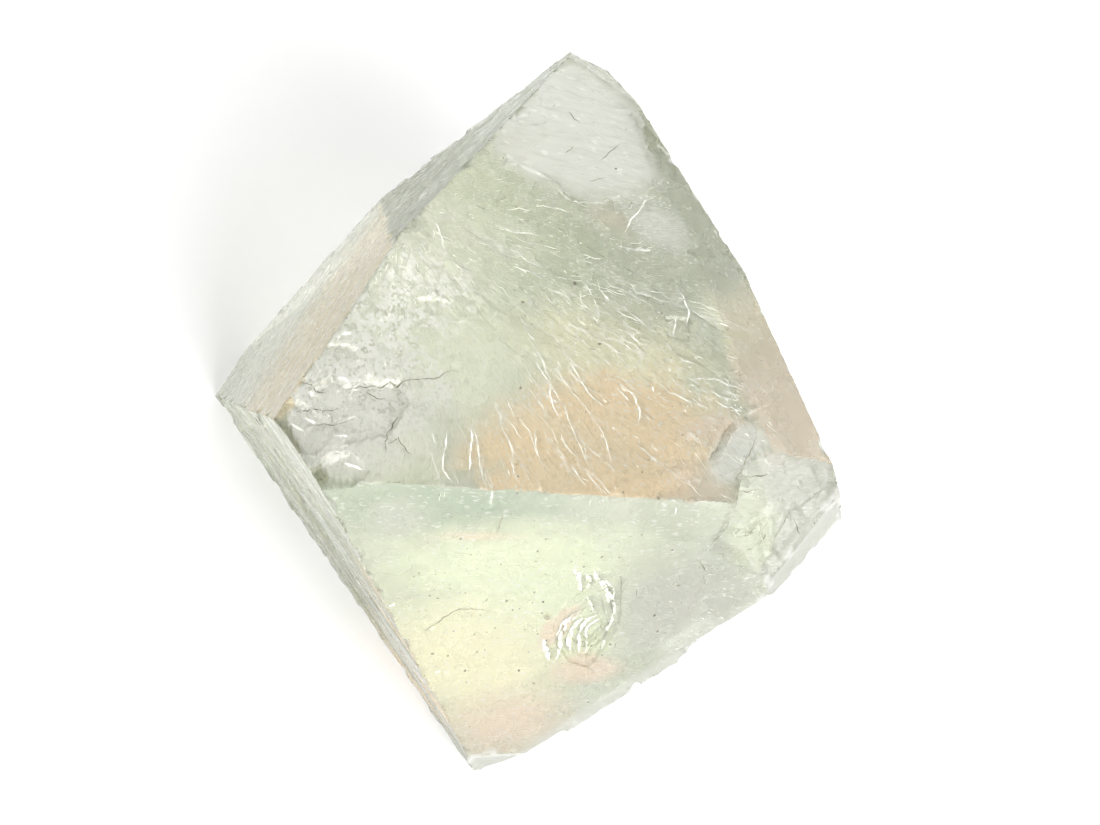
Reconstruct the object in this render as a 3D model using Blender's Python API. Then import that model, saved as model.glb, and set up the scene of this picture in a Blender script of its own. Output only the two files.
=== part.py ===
"""Fluorite octahedron: one cleaved crystal, lying on one of its eight faces.

The stone is a convex block split along cleavage planes, with its tips broken off.
Ledges, steps and chips are then cut out of its faces. The origin is the point of the
resting face that lies under the middle of the crystal. Units are metres, +Z is up.
"""

import math
import random

import bmesh
import bpy
from mathutils import Matrix, Vector

MM = 0.001

# ---------------------------------------------------------------- driving dimensions
# A plane of the crystal is given by the compass direction it faces (degrees from +X
# towards +Y), the slope of its normal above the horizon (degrees), and how far it lies
# from the crystal's centre (millimetres).
CENTRE_HEIGHT = 13.52
CLEAVAGE_FACES = {
    "top": (-149.2, 88.3, 12.18),
    "base": (0.0, -90.0, CENTRE_HEIGHT),
    "front": (-90.0, -16.9, 14.96),
    "front_right": (-34.6, 18.9, 13.86),
    "front_left": (-153.5, 13.5, 14.69),
    "front_left_upper": (-162.3, 19.6, 15.0),
    "back": (85.2, 20.4, 12.65),
    "back_end": (75.9, 20.7, 12.64),
    "back_right": (22.9, -21.0, 13.2),
    "back_left": (144.3, -19.1, 13.18),
}
BLUNTED = {
    "left_tip": (113.8, 49.5, 17.8),
    "top_back_edge": (76.2, 72.6, 13.62),
    "right_tip": (5.6, 19.0, 17.35),
    "front_tip": (-30.1, -2.2, 18.19),
    "back_tip": (84.0, -37.0, 21.3),
}
# The break that took the right corner off, as a plane of its own.
RIGHT_BREAK = (-18.7, 44.0, 15.31)

# Places on a face are (u, v) in millimetres from the foot of the perpendicular from the
# crystal's centre. u runs level along the face and v up it; on the top, u is +X.
WALL_LEAN = 0.3         # how far a ledge's wall leans out, per unit of height
CUTTER_RISE = 2.6       # how far a cutter reaches above the face it cuts
NEARLY_LEVEL = 0.1      # sine of the slope below which a plane takes u from +X

PALE_GREEN_GREY = (0.62, 0.68, 0.60, 1.0)
FLUORITE_IOR = 1.434
SEED = 29


def clear_scene():
    for obj in list(bpy.data.objects):
        bpy.data.objects.remove(obj, do_unlink=True)


def direction(azimuth, elevation):
    turn, slope = math.radians(azimuth), math.radians(elevation)
    return Vector((math.cos(slope) * math.cos(turn),
                   math.cos(slope) * math.sin(turn),
                   math.sin(slope)))


def plane_frame(plane):
    """A matrix whose axes are a plane's u, v and outward normal, its foot at the origin."""
    azimuth, elevation, distance = plane
    normal = direction(azimuth, elevation)
    level = Vector((0, 0, 1)).cross(normal)
    if level.length < NEARLY_LEVEL:
        level = Vector((1, 0, 0)) - normal * normal.x
    u = level.normalized()
    v = normal.cross(u)
    foot = Vector((0, 0, CENTRE_HEIGHT)) + normal * distance
    frame = Matrix((u, v, normal)).transposed().to_4x4()
    frame.translation = foot
    return frame


# ---------------------------------------------------------------- the cleaved block
def cleaved_block():
    """The convex block inside all the cleavage planes and the blunted tips."""
    mesh = bmesh.new()
    rough_size = 60
    middle = Matrix.Translation((0, 0, CENTRE_HEIGHT))
    bmesh.ops.create_cube(mesh, size=rough_size, matrix=middle)
    for plane in (*CLEAVAGE_FACES.values(), *BLUNTED.values()):
        frame = plane_frame(plane)
        everything = mesh.verts[:] + mesh.edges[:] + mesh.faces[:]
        cut = bmesh.ops.bisect_plane(
            mesh, geom=everything, plane_co=frame.translation,
            plane_no=frame.col[2].to_3d(), clear_outer=True)
        rim = [item for item in cut["geom_cut"] if isinstance(item, bmesh.types.BMEdge)]
        bmesh.ops.edgeloop_fill(mesh, edges=rim)
    bmesh.ops.recalc_face_normals(mesh, faces=mesh.faces)
    return mesh


# ---------------------------------------------------------------- cutters
def ledge(mesh, plane, outline, depth, dip=(0.0, 0.0)):
    """A cutter that sinks an outlined part of a face by a depth.

    dip is how fast its floor rises along u and along v from the outline's first point.
    """
    frame = plane_frame(plane)
    u_start, v_start = outline[0]
    floor = [(u, v, -depth + dip[0] * (u - u_start) + dip[1] * (v - v_start))
             for u, v in outline]
    corners = [mesh.verts.new(frame @ Vector(point)) for point in floor]
    base = mesh.faces.new(corners)
    middle = sum((Vector(point) for point in floor), Vector()) / len(floor)
    lid = bmesh.ops.extrude_face_region(mesh, geom=[base])
    lid_verts = [item for item in lid["geom"] if isinstance(item, bmesh.types.BMVert)]
    to_face = frame.inverted()
    for vert in lid_verts:
        u, v, height = to_face @ vert.co
        out = Vector((u - middle.x, v - middle.y, 0))
        reach = WALL_LEAN * (CUTTER_RISE - height)
        out.length = out.length + reach
        vert.co = frame @ Vector((middle.x + out.x, middle.y + out.y, CUTTER_RISE))


def scar(mesh, plane, start, end, width, depth, draw):
    """A cutter for a long flake scar: flush along one side, with a jagged low wall."""
    first, last = Vector(start), Vector(end)
    along = last - first
    side = Vector((-along.y, along.x)).normalized()
    overshoot = 0.12
    jagged_wall = ((0.86, 0.55), (0.62, 0.95), (0.4, 0.8), (0.16, 0.6))
    outline = [first - side * overshoot, last - side * overshoot]
    for share, bulge in jagged_wall:
        spot = first + along * (share + draw.uniform(-0.05, 0.05))
        outline.append(spot + side * width * bulge * draw.uniform(0.8, 1.2))
    fall = depth / width
    flush = -overshoot * fall
    ledge(mesh, plane, [tuple(spot) for spot in outline], flush,
          dip=(-side.x * fall, -side.y * fall))


def mesh_object(name, mesh):
    """A scene object from a mesh drawn in millimetres."""
    bmesh.ops.recalc_face_normals(mesh, faces=mesh.faces)
    mesh.transform(Matrix.Scale(MM, 4))
    data = bpy.data.meshes.new(name)
    mesh.to_mesh(data)
    mesh.free()
    obj = bpy.data.objects.new(name, data)
    bpy.context.scene.collection.objects.link(obj)
    return obj


# ---------------------------------------------------------------- what is cut
def right_corner_break(mesh):
    """The corner's broken floor, a rounded flake left standing beside it, and a slit."""
    flake_side = [(5.3, 3.9), (4.5, 2.2), (4.0, 1.6), (3.6, 0.2), (3.2, -1.3), (2.5, -2.9)]
    ledge(mesh, RIGHT_BREAK, flake_side + [(3.6, -7.5), (14.0, -7.5), (14.0, 5.0)], 0.0)
    top = CLEAVAGE_FACES["top"]
    flake_head = [(8.6, 2.9), (9.3, 3.4), (10.1, 3.0), (10.6, 2.0), (11.4, 0.9)]
    ledge(mesh, top, flake_head + [(14.5, 3.0), (13.5, 8.5), (9.0, 8.6)], 0.3,
          dip=(0.02, 0.045))
    ledge(mesh, top, [(8.5, 2.2), (9.0, 2.2), (9.9, 0.2), (9.5, -0.1)], 0.45)


def top_cap_step(mesh):
    """The jagged step below the frosty cap at the left tip, and two flakes beside it."""
    top = CLEAVAGE_FACES["top"]
    step = [(-10.9, 1.2), (-9.0, 2.2), (-8.0, 2.8), (-6.6, 3.0), (-5.9, 4.2), (-5.8, 5.3),
            (-5.0, 5.8), (-5.3, 7.5), (-6.6, 8.3), (-8.0, 8.7), (-9.6, 9.3)]
    ledge(mesh, top, step + [(-3.0, 10.6), (3.0, 9.0), (1.0, 2.0), (-6.0, -4.0)], 0.3,
          dip=(0.062, -0.045))
    ledge(mesh, top, [(1.5, 3.0), (2.4, 4.1), (3.4, 3.2), (2.6, 2.3)], 0.25, dip=(0.1, 0.0))
    ledge(mesh, top, [(-13.2, 3.4), (-12.0, 3.1), (-11.6, 4.6), (-13.6, 5.4)], 0.2,
          dip=(0.0, 0.06))


def front_corner_rubble(mesh):
    """Tilted flats where the front corner of the top is bruised and broken."""
    top = CLEAVAGE_FACES["top"]
    ledge(mesh, top, [(-4.6, -14.9), (-3.7, -14.7), (-3.4, -13.4), (-2.5, -12.2),
                      (-1.2, -12.5), (-0.3, -14.4), (-0.9, -16.4), (-2.6, -16.9),
                      (-4.2, -16.6)], 0.55, dip=(0.10, -0.09))
    ledge(mesh, top, [(-5.6, -18.9), (-3.9, -17.2), (-2.3, -16.3), (-1.5, -17.2),
                      (-1.2, -18.4), (-2.4, -19.6)], 0.8, dip=(0.16, 0.07))
    ledge(mesh, top, [(-0.7, -17.9), (-0.4, -16.6), (0.9, -16.4), (1.3, -18.8),
                      (-0.4, -19.4)], 0.6, dip=(0.05, 0.24))
    ledge(mesh, top, [(-6.6, -15.2), (-5.6, -13.2), (-4.2, -13.0), (-4.4, -14.6),
                      (-5.4, -16.4)], 0.18, dip=(0.12, -0.04))
    ledge(mesh, top, [(-6.1, -8.6), (-4.9, -8.7), (-3.9, -9.2), (-3.2, -10.1),
                      (-3.3, -11.4), (0.6, -12.0), (1.0, -6.5), (-4.0, -5.5)], 0.09,
          dip=(0.05, 0.02))


def top_rivers(mesh):
    """Fans of long low scars that run across the top from the left to the right corner."""
    top = CLEAVAGE_FACES["top"]
    draw = random.Random(SEED)
    long_scars = [((7.1, -6.5), (2.2, -4.9)), ((6.4, -4.8), (1.6, -4.4)),
                  ((8.3, -2.8), (5.2, -3.6)), ((4.2, -12.1), (1.3, -10.3)),
                  ((3.8, -9.2), (1.0, -8.4)), ((1.9, 1.8), (-1.5, 0.7)),
                  ((1.1, 3.7), (-1.2, 2.4))]
    for start, end in long_scars:
        scar(mesh, top, start, end, draw.uniform(0.34, 0.5), 0.1, draw)
    fan_centre = Vector((-22.0, -7.0))
    for ring_start, ring_end, bearing, spread in ((11.5, 17.0, 16, 15), (17.5, 23.5, 20, 16),
                                                  (25.0, 30.5, 18, 7)):
        for step in range(5):
            turn = math.radians(bearing + spread * (step / 2 - 1) + draw.uniform(-1.2, 1.2))
            ray = Vector((math.cos(turn), math.sin(turn)))
            inner = fan_centre + ray * (ring_start + draw.uniform(-0.6, 1.4))
            outer = fan_centre + ray * (ring_end + draw.uniform(-1.4, 0.6))
            scar(mesh, top, outer, inner, draw.uniform(0.35, 0.6), draw.uniform(0.08, 0.14), draw)


def rippled_chip(mesh):
    """A shell-shaped chip on the front right face: arcs stepping down to its centre."""
    face = CLEAVAGE_FACES["front_right"]
    widest_radius, tread, riser = 3.7, 0.8, 0.14
    first_depth = 0.2
    tallness = 1.15
    arc_steps = 7
    for ring in range(4):
        radius = widest_radius - tread * ring
        centre = Vector((2.9 - 0.25 * ring, -2.2 - 0.3 * ring))
        outline = [tuple(centre)]
        for step in range(arc_steps + 1):
            turn = math.radians(108 + 5 * ring + (150 - 10 * ring) * step / arc_steps)
            outline.append((centre.x + radius * math.cos(turn),
                            centre.y + tallness * radius * math.sin(turn)))
        ledge(mesh, face, outline, first_depth + riser * ring)


def banded_face(mesh, face_name, levels, run, depth, seed):
    """Level cleavage steps across a face, each a long low scar with its wall below."""
    face = CLEAVAGE_FACES[face_name]
    draw = random.Random(seed)
    low, high, count = levels
    left, right = run
    for step in range(count):
        height = low + (high - low) * (step + draw.uniform(-0.3, 0.3)) / (count - 1)
        start = (left + (right - left) * draw.uniform(-0.1, 0.4), height)
        end = (right - (right - left) * draw.uniform(-0.1, 0.3), height + draw.uniform(-0.2, 0.2))
        scar(mesh, face, start, end, draw.uniform(0.8, 1.7), depth * draw.uniform(0.6, 1.0), draw)


def hidden_side_ledges(mesh):
    """Broad cleavage steps on the faces turned to the back, most running out over an edge."""
    back, back_end = CLEAVAGE_FACES["back"], CLEAVAGE_FACES["back_end"]
    back_left, back_right = CLEAVAGE_FACES["back_left"], CLEAVAGE_FACES["back_right"]
    ledge(mesh, back, [(4.2, 5.6), (5.6, 4.4), (6.2, 2.4), (3.4, -2.2), (3.9, -4.6),
                       (0.6, -9.0), (1.4, -20.0), (-5.0, -20.0), (-5.0, 3.6), (-2.6, 4.8),
                       (0.4, 4.4)], 0.38, dip=(0.05, 0.0))
    ledge(mesh, back, [(16.0, 5.6), (11.4, 4.6), (10.2, 1.8), (6.8, 0.6), (7.0, -2.0),
                       (12.0, -2.4)], 0.3, dip=(0.0, 0.02))
    ledge(mesh, back_end, [(-15.0, 1.0), (-9.5, 0.2), (-7.0, -2.5), (-3.4, -3.2),
                           (-2.2, -6.0), (2.4, -7.6), (2.4, -20.0), (-16.0, -20.0)], 0.35)
    ledge(mesh, back_left, [(-2.0, 19.0), (-4.6, 13.0), (-5.4, 9.0), (-8.6, 3.8),
                            (-9.4, 0.6), (-13.4, -5.4), (-16.6, -9.0), (-20.0, -6.0),
                            (-9.0, 20.0)], 0.4, dip=(0.0, 0.005))
    ledge(mesh, back_left, [(-18.0, -5.8), (-9.0, -6.5), (-7.6, -7.6), (2.0, -6.9),
                            (4.6, -8.2), (18.0, -7.6), (18.0, -13.0), (-18.0, -13.0)], 0.3)
    ledge(mesh, back_right, [(-17.0, -2.6), (-9.6, -3.6), (-8.2, -1.0), (-3.0, -1.9),
                             (-1.2, 1.4), (3.4, 1.0), (4.6, 3.2), (13.0, 2.6),
                             (17.0, -13.0), (-18.0, -13.0)], 0.3, dip=(0.0, -0.004))
    ledge(mesh, back_right, [(-4.2, 13.0), (-5.0, 7.4), (-7.6, 5.2), (-10.6, 5.6)], 0.4,
          dip=(0.0, 0.03))


def edge_nicks(mesh, block):
    """Small bites along the sharp edges, a few on each, as old cleaved edges have."""
    draw = random.Random(SEED)
    shortest_nicked = 6.0
    spacing = 4.2
    ends = [(edge.verts[0].co.copy(), edge.verts[1].co.copy()) for edge in block.edges
            if edge.calc_length() > shortest_nicked]
    middle = Vector((0, 0, CENTRE_HEIGHT))
    for first, last in ends:
        count = int((last - first).length / spacing)
        for nick in range(count):
            place = first.lerp(last, (nick + draw.uniform(0.25, 0.85)) / (count + 0.2))
            outward = (place - middle).normalized()
            radius = draw.uniform(0.55, 1.15)
            turn = Matrix.Rotation(draw.uniform(0, math.pi), 4, outward)
            stretch = Matrix.Diagonal((1.0, draw.uniform(0.6, 1.0), 1.0, 1.0))
            seat = Matrix.Translation(place + outward * radius * draw.uniform(0.45, 0.75))
            bite = bmesh.ops.create_icosphere(mesh, subdivisions=1, radius=radius,
                                              matrix=seat @ turn @ stretch)
            for vert in bite["verts"]:
                vert.co = place + (vert.co - place) * draw.uniform(0.75, 1.2)


# ---------------------------------------------------------------- the stone
def fluorite_material():
    material = bpy.data.materials.new("fluorite")
    material.use_nodes = True
    shader = material.node_tree.nodes["Principled BSDF"]
    shader.inputs["Base Color"].default_value = PALE_GREEN_GREY
    shader.inputs["Roughness"].default_value = 0.3
    shader.inputs["Metallic"].default_value = 0.0
    shader.inputs["IOR"].default_value = FLUORITE_IOR
    shader.inputs["Transmission Weight"].default_value = 0.9
    return material


def build_stone():
    block = cleaved_block()
    broken = bmesh.new()
    right_corner_break(broken)
    top_cap_step(broken)
    front_corner_rubble(broken)
    top_rivers(broken)
    rippled_chip(broken)
    banded_face(broken, "front", (-8.8, 14.0, 15), (-14.0, 12.0), 0.32, SEED + 1)
    banded_face(broken, "front_left", (-13.0, 7.0, 9), (-6.0, 15.0), 0.26, SEED + 2)
    banded_face(broken, "front_left_upper", (-3.0, 5.6, 4), (-12.0, 4.0), 0.2, SEED + 3)
    hidden_side_ledges(broken)
    edge_nicks(broken, block)

    stone = mesh_object("fluorite_octahedron", block)
    stone.data.materials.append(fluorite_material())
    cutter = mesh_object("broken_away", broken)
    cutter.hide_render = True
    cutter.display_type = "WIRE"
    breaks = stone.modifiers.new("breaks", "BOOLEAN")
    breaks.operation = "DIFFERENCE"
    breaks.solver = "EXACT"
    breaks.use_self = True
    breaks.object = cutter


clear_scene()
build_stone()
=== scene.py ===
import math
import random
from types import SimpleNamespace

import bmesh
import bpy
from mathutils import Matrix, Vector, noise
from mathutils.bvhtree import BVHTree
import numpy as np


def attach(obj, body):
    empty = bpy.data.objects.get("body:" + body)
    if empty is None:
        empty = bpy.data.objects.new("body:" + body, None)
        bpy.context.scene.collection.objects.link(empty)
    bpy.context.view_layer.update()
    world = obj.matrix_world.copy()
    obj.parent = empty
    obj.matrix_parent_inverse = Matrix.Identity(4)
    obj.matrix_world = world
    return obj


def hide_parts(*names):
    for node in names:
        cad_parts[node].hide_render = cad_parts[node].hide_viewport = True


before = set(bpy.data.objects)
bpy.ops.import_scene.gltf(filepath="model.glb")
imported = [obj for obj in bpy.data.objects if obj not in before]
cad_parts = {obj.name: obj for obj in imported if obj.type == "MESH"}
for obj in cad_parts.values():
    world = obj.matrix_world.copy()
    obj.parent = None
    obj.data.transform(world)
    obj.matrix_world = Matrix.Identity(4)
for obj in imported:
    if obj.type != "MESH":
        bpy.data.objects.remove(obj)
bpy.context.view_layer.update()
scene = bpy.context.scene

# ---------------------------------------------------------------- the stone's faces
# The stone is one crystal of pale fluorite, split along its eight cleavage planes and
# broken at the tips. Its planes stand where the solid has them.
middle = Vector((0, 0, 13.52))

# The compass direction that a face looks in and the slope of its normal (degrees), its
# distance from the middle, and how finely it is cut up across and along its grain (mm).
plane_sizes = {
    "top": (-149.2, 88.3, 12.18, 0.11, 0.28),
    "base": (0.0, -90.0, 13.52, 0.8, 0.8),
    "front": (-90.0, -16.9, 14.96, 0.12, 0.5),
    "front_right": (-34.6, 18.9, 13.86, 0.16, 0.2),
    "front_left": (-153.5, 13.5, 14.69, 0.14, 0.45),
    "front_left_upper": (-162.3, 19.6, 15.0, 0.14, 0.45),
    "back": (85.2, 20.4, 12.65, 0.28, 0.45),
    "back_end": (75.9, 20.7, 12.64, 0.28, 0.45),
    "back_right": (22.9, -21.0, 13.2, 0.25, 0.4),
    "back_left": (144.3, -19.1, 13.18, 0.28, 0.45),
    "left_tip": (113.8, 49.5, 17.8, 0.2, 0.2),
    "top_back_edge": (76.2, 72.6, 13.62, 0.2, 0.25),
    "right_tip": (5.6, 19.0, 17.35, 0.2, 0.2),
    "front_tip": (-30.1, -2.2, 18.19, 0.2, 0.2),
    "back_tip": (84.0, -37.0, 21.3, 0.3, 0.3),
    "right_break": (-18.7, 44.0, 15.31, 0.15, 0.15),
}
coarser = 1.0
nearly_level = 0.1


def facing(azimuth, elevation):
    turn, slope = math.radians(azimuth), math.radians(elevation)
    return Vector((math.cos(slope) * math.cos(turn), math.cos(slope) * math.sin(turn),
                   math.sin(slope)))


planes = {}
for name, (azimuth, elevation, distance, across, along) in plane_sizes.items():
    normal = facing(azimuth, elevation)
    level = Vector((0, 0, 1)).cross(normal)
    if level.length < nearly_level:
        level = Vector((1, 0, 0)) - normal * normal.x
    level.normalize()
    planes[name] = SimpleNamespace(
        name=name, u=level, v=normal.cross(level), normal=normal,
        foot=middle + normal * distance, across=across * coarser, along=along * coarser)


def nearest_plane(place):
    return min(planes.values(), key=lambda plane: abs(plane.normal.dot(place - plane.foot)))


# ---------------------------------------------------------------- the fine mesh
# The crystal's body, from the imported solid. Every face is cut into narrow cells that run
# with its grain, so that the ripples and steps worked into it next keep crisp edges. The
# top's grain fans out from one point, where the split through the stone began.
fan_hub = (-18.0, -6.5)
fan_from, fan_to, fan_step, fan_heading = -42.0, 78.0, 0.3, 10.0
same_corner = 1e-5
still_flat = math.radians(0.3)
on_the_cut = 1e-4
to_millimetres, to_metres = Matrix.Scale(1000, 4), Matrix.Scale(0.001, 4)

crystal = bmesh.new()
crystal.from_mesh(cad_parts["fluorite_octahedron"].data)
bmesh.ops.remove_doubles(crystal, verts=crystal.verts, dist=same_corner)
crystal.transform(to_millimetres)
bmesh.ops.dissolve_limit(crystal, angle_limit=still_flat, verts=crystal.verts,
                         edges=crystal.edges)


def cut_faces(cells, cuts):
    """Cuts mesh faces along planes, each a point and a normal."""
    parts = [*cells, *(edge for cell in cells for edge in cell.edges),
             *(vert for cell in cells for vert in cell.verts)]
    parts = list(dict.fromkeys(parts))
    for point, normal in cuts:
        parts = bmesh.ops.bisect_plane(crystal, geom=parts, dist=on_the_cut,
                                       plane_co=point, plane_no=normal)["geom"]


def parallel_cuts(plane, corners, direction, spacing):
    reach = [direction.dot(corner - plane.foot) for corner in corners]
    count = int((max(reach) - min(reach)) / spacing)
    return [(plane.foot + direction * (min(reach) + spacing * (step + 0.5)), direction)
            for step in range(count + 1)]


owned = {name: [] for name in planes}
for cell in crystal.faces:
    owned[nearest_plane(cell.calc_center_median()).name].append(cell)
cut_order = [name for name in planes if name not in ("top", "front_right")]
for name in cut_order + ["front_right", "top"]:
    plane, cells = planes[name], owned[name]
    corners = [vert.co.copy() for cell in cells for vert in cell.verts]
    if name == "top":
        hub = plane.foot + plane.u * fan_hub[0] + plane.v * fan_hub[1]
        bearings = [math.radians(fan_from + fan_step * coarser * step)
                    for step in range(int((fan_to - fan_from) / (fan_step * coarser)))]
        cuts = [(hub, plane.v * math.cos(bearing) - plane.u * math.sin(bearing))
                for bearing in bearings]
        outwards = math.radians(fan_heading)
        heading = plane.u * math.cos(outwards) + plane.v * math.sin(outwards)
        cuts += parallel_cuts(plane, corners, heading, plane.along)
    else:
        cuts = parallel_cuts(plane, corners, plane.v, plane.across)
        cuts += parallel_cuts(plane, corners, plane.u, plane.along)
    cut_faces(cells, cuts)
bmesh.ops.triangulate(crystal, faces=crystal.faces)

# ---------------------------------------------------------------- its hackle lines
# Where the split ran on at slightly different levels it left thin walls, which fan out
# from one point on the left edge. The clearest ones are placed one by one, and finer ones
# are scattered along the same fan. Places are (u, v) on a face, in millimetres.
split_start = Vector((-11.5, -6.0))
clear_lines = {
    "top": [
        [(-3.6, -1.2), (-3.2, -0.8), (-2.5, 0.1), (-1.8, 0.2), (-1.2, 0.1), (-0.6, -0.1),
         (-0.2, -0.4), (0.1, -0.8)],
        [(-2.2, -0.3), (-1.4, -0.7), (-0.8, -0.5), (-0.3, -0.4)],
        [(-3.0, -2.2), (-2.1, -2.2), (-1.5, -2.1), (-0.6, -2.0)],
        [(-3.1, -1.9), (-2.6, -1.6), (-2.2, -1.2), (-1.6, -1.2)],
        [(-3.3, -3.2), (-2.9, -3.1), (-2.4, -3.2)],
        [(-2.1, 0.9), (-1.5, 0.7), (-0.8, 0.8), (-0.2, 1.2), (1.2, 1.6), (1.9, 1.8)],
        [(-2.0, 1.3), (-1.4, 1.4), (-0.8, 1.9), (-0.1, 2.3), (0.7, 2.7)],
        [(-1.2, 2.4), (-0.4, 2.5), (0.3, 3.1), (1.1, 3.7)],
        [(-6.7, -2.8), (-6.2, -2.5), (-5.7, -2.0), (-4.9, -1.8), (-4.2, -1.2), (-3.7, -0.8)],
        [(-5.0, -2.7), (-4.4, -2.2), (-3.7, -1.8), (-3.3, -1.5)],
        [(-7.7, -2.0), (-6.8, -1.5), (-6.3, -0.7), (-5.6, -0.1)],
        [(-7.4, -0.7), (-6.8, -0.4), (-6.1, -0.4)],
        [(-10.6, -4.4), (-9.8, -4.8), (-8.7, -5.1), (-7.9, -5.4), (-7.1, -5.6), (-5.9, -5.2)],
        [(-9.8, -4.5), (-9.4, -4.0), (-8.7, -3.9)],
        [(-8.9, -6.3), (-8.5, -5.9), (-8.8, -5.4), (-9.4, -5.2), (-10.0, -5.1)],
        [(-10.4, 1.9), (-9.4, 2.1), (-8.3, 2.4), (-7.5, 2.6), (-6.8, 2.8), (-5.9, 3.4)],
        [(-9.9, 1.9), (-8.9, 2.3), (-8.1, 2.6), (-7.4, 2.7)],
        [(-8.7, 2.1), (-8.0, 2.5), (-7.1, 2.6), (-6.5, 3.0)],
        [(-3.2, 3.3), (-2.7, 3.8), (-2.3, 4.4), (-2.2, 5.0)],
        [(-3.0, 3.5), (-2.6, 4.1), (-2.5, 4.6)],
        [(-3.1, 3.7), (-2.8, 4.6), (-2.9, 5.4)],
        [(-4.7, 7.2), (-4.8, 6.6), (-4.4, 5.8), (-4.2, 5.0), (-3.7, 4.2)],
        [(2.0, 2.7), (1.9, 3.6), (2.4, 3.1), (2.7, 2.6), (2.0, 2.7)],
        [(2.8, 2.0), (3.5, 2.0), (4.3, 2.2), (4.8, 2.7)],
        [(0.5, 4.6), (1.2, 4.6), (2.0, 4.4), (2.6, 3.8)],
        [(0.4, -1.0), (1.0, -0.8), (1.7, 0.0)],
        [(0.9, 0.1), (1.4, 0.5), (2.3, 0.7)],
        [(-1.8, -4.4), (-1.2, -4.5), (-0.8, -4.4)],
        [(-0.6, -5.8), (0.7, -5.8), (1.8, -5.9), (3.2, -5.3), (4.2, -5.7), (5.6, -6.0),
         (7.1, -6.5)],
        [(0.1, -5.1), (1.0, -5.2), (1.9, -5.2), (2.7, -5.3)],
        [(0.5, -3.9), (1.6, -4.4), (2.7, -4.4), (3.7, -4.3), (5.4, -4.4), (6.4, -4.8),
         (7.7, -5.4)],
        [(0.9, -3.5), (1.9, -3.5), (3.1, -3.7), (4.3, -3.4)],
        [(3.6, -2.1), (4.3, -2.0), (4.7, -2.0)],
        [(4.1, -1.6), (4.7, -1.6), (5.4, -1.8), (6.0, -2.4)],
        [(6.6, -3.3), (7.3, -3.0), (8.3, -2.8), (9.9, -2.3)],
        [(5.2, 1.6), (5.6, 2.3), (6.0, 3.0), (7.4, 4.1)],
        [(6.4, 2.3), (7.1, 2.7), (7.7, 3.4)],
        [(7.1, 2.2), (7.7, 2.6), (8.3, 3.1)],
        [(4.3, -6.5), (5.2, -6.6), (5.9, -6.5)],
        [(1.1, -11.6), (1.8, -12.2), (2.5, -12.9), (2.8, -13.1), (3.7, -13.1)],
        [(1.3, -10.3), (2.0, -10.6), (2.9, -11.4), (3.9, -12.2)],
        [(1.6, -10.3), (2.5, -10.6), (3.3, -11.1), (4.4, -11.6)],
        [(1.0, -8.5), (1.6, -8.4), (2.1, -8.9), (2.6, -9.0), (3.7, -9.2), (5.2, -10.2)],
        [(3.3, -7.5), (4.4, -8.1), (4.7, -8.4)],
        [(-1.1, -4.6), (0.1, -4.7), (1.4, -5.0), (2.4, -5.7), (3.7, -6.0)],
        [(0.7, -12.4), (1.4, -12.6)],
        [(-4.9, -14.9), (-4.4, -15.0), (-3.9, -14.8), (-3.8, -14.3)],
        [(-3.1, -14.8), (-3.6, -14.2), (-3.4, -13.7), (-2.8, -13.8)],
        [(-0.8, -17.4), (-0.6, -17.0), (-0.5, -16.6)],
        [(-2.3, -16.6), (-2.4, -15.8), (-2.7, -15.1)],
        [(-0.9, -17.0), (-0.9, -16.2), (-1.0, -15.8)],
        [(-4.2, -16.6), (-3.5, -16.4), (-2.7, -16.4), (-2.2, -16.4)],
        [(-3.2, -18.2), (-2.6, -18.0), (-2.7, -17.4), (-2.8, -16.6)],
    ],
    "front_right": [
        [(-1.1, -3.9), (-0.8, -4.8), (-0.3, -5.8)],
        [(-0.3, -4.0), (-0.2, -3.1), (0.2, -2.3), (0.7, -1.6)],
        [(0.1, -5.7), (0.1, -4.7), (-0.1, -3.8), (0.1, -2.9), (0.6, -2.3)],
        [(0.9, -5.4), (0.6, -4.6), (0.5, -3.7), (0.7, -2.9), (1.1, -2.2)],
        [(1.4, -5.4), (1.1, -4.4), (1.1, -3.6), (1.2, -2.9), (1.7, -2.2)],
        [(1.8, -5.4), (1.7, -4.6), (1.4, -3.9), (1.5, -3.3), (2.0, -2.4)],
        [(2.5, -5.0), (2.5, -4.3), (2.4, -3.5), (2.5, -2.5), (2.3, -1.5)],
        [(-1.0, 2.2), (-0.6, 1.6), (-0.2, 0.8), (-0.1, 0.0)],
        [(0.1, 2.2), (0.5, 1.5), (0.9, 1.0), (1.5, 0.1), (2.1, -0.7)],
        [(-0.2, 1.8), (0.2, 1.1), (0.3, 0.4)],
        [(2.4, -1.6), (2.0, -0.6), (1.7, 0.4), (1.1, 1.2)],
        [(0.4, -0.4), (0.9, -1.1), (1.3, -1.9)], [(-0.6, 1.9), (-0.4, 1.1), (-0.1, 0.4)],
        [(1.2, 0.4), (1.6, -0.2), (1.9, -0.9)],
    ],
}
clear_rise = {"top": 0.06, "front_right": 0.13}


def wave(x, y, seed):
    """Smooth noise between -1 and 1. Each seed reads a level of its own."""
    level_apart = 7.3
    return noise.noise(Vector((x, y, seed * level_apart)))


def wandering(points, seed, sway=0.09, spacing=0.22):
    """A line through the given points, with small bends of its own."""
    bend_length = 0.4
    bent = []
    for first, last in zip(points[:-1], points[1:]):
        first, last = Vector(first), Vector(last)
        steps = max(1, round((last - first).length / spacing))
        for step in range(steps):
            spot = first.lerp(last, step / steps)
            x, y = spot.x / bend_length, spot.y / bend_length
            bent.append(spot + sway * Vector((wave(x, y, seed), wave(x, y, seed + 1))))
    bent.append(Vector(points[-1]))
    return bent


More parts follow.
